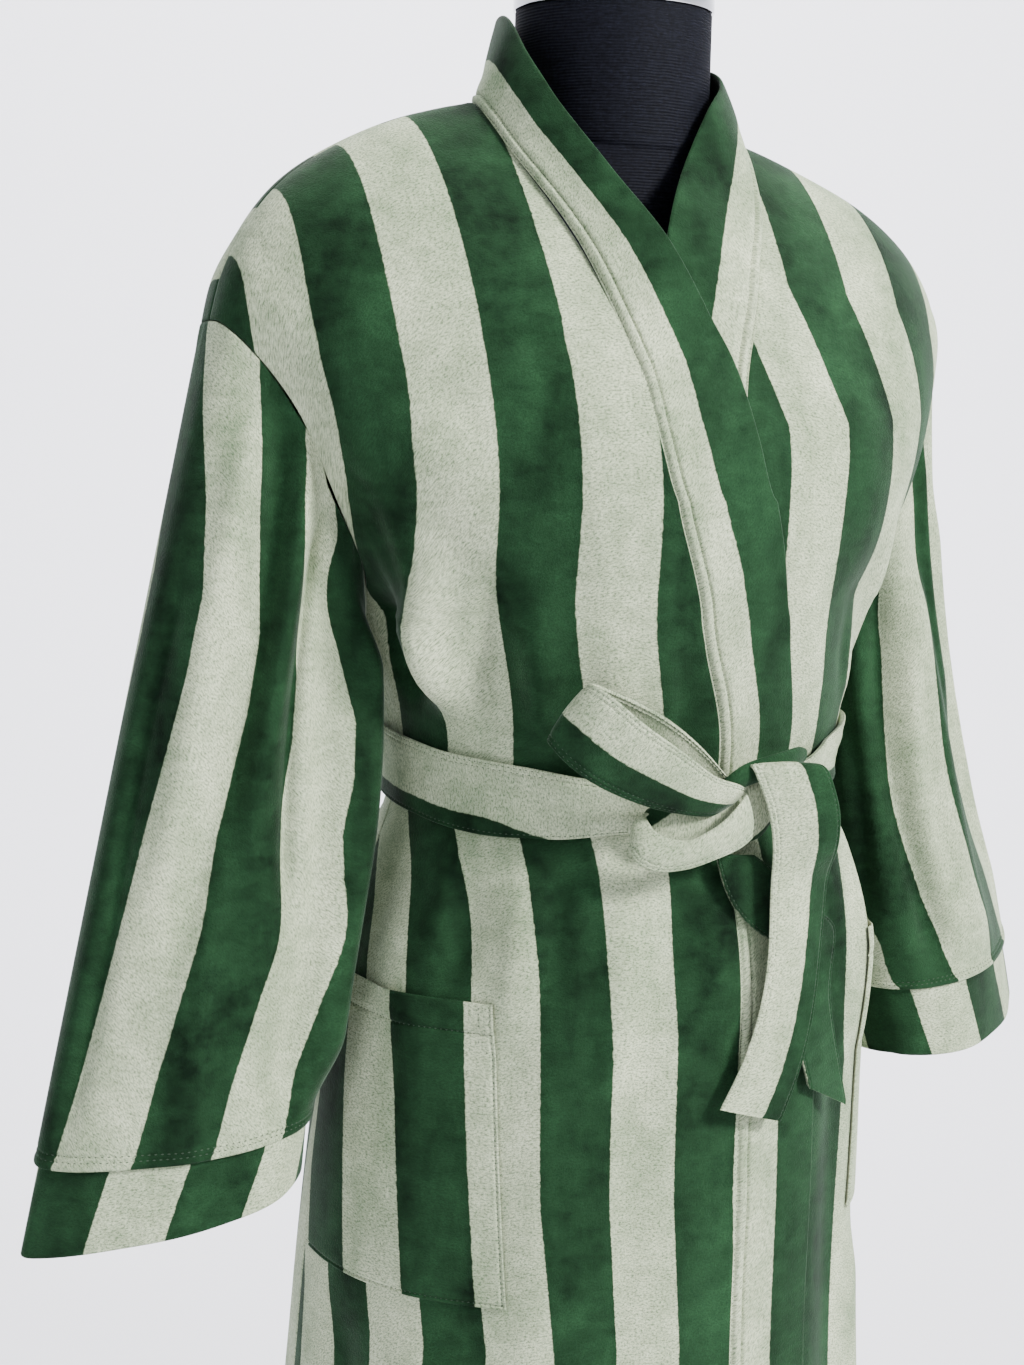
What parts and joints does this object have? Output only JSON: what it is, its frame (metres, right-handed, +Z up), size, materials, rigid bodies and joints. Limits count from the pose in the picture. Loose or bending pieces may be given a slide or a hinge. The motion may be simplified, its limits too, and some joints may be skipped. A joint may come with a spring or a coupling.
{
  "type": "kimono robe on a limbless dress form and stand",
  "caption": "Striped velvet kimono robe, wrapped right over left and tied with a half bow, hanging on a limbless dress form with its stand.",
  "frame": {"origin": "middle of the stand's base, on the floor", "axes": "+Z up; -Y is the front of the robe; +X is the wearer's left"},
  "size_m": [0.7343, 0.4136, 1.5283],
  "materials": {
    "striped_velvet": "cotton velvet, dark green and pale sage stripes",
    "form_cover": "matte ribbed cover",
    "polished_steel": "polished",
    "pole_steel": "brushed",
    "base_black": "satin black"
  },
  "bodies": {
    "root": {"back": "striped_velvet", "front_right": "striped_velvet", "front_left": "striped_velvet", "sleeve_right": "striped_velvet", "sleeve_left": "striped_velvet", "cuff_right": "striped_velvet", "cuff_left": "striped_velvet", "neck_band_right": "striped_velvet", "neck_band_left": "striped_velvet", "pocket_right": "striped_velvet", "pocket_left": "striped_velvet", "belt_round": "striped_velvet", "belt_knot": "striped_velvet", "belt_loop": "striped_velvet", "belt_tail_front": "striped_velvet", "belt_tail_back": "striped_velvet", "form_torso": "form_cover", "form_cap": "polished_steel", "stand_pole": "pole_steel", "stand_base": "base_black"}
  },
  "joints": []
}
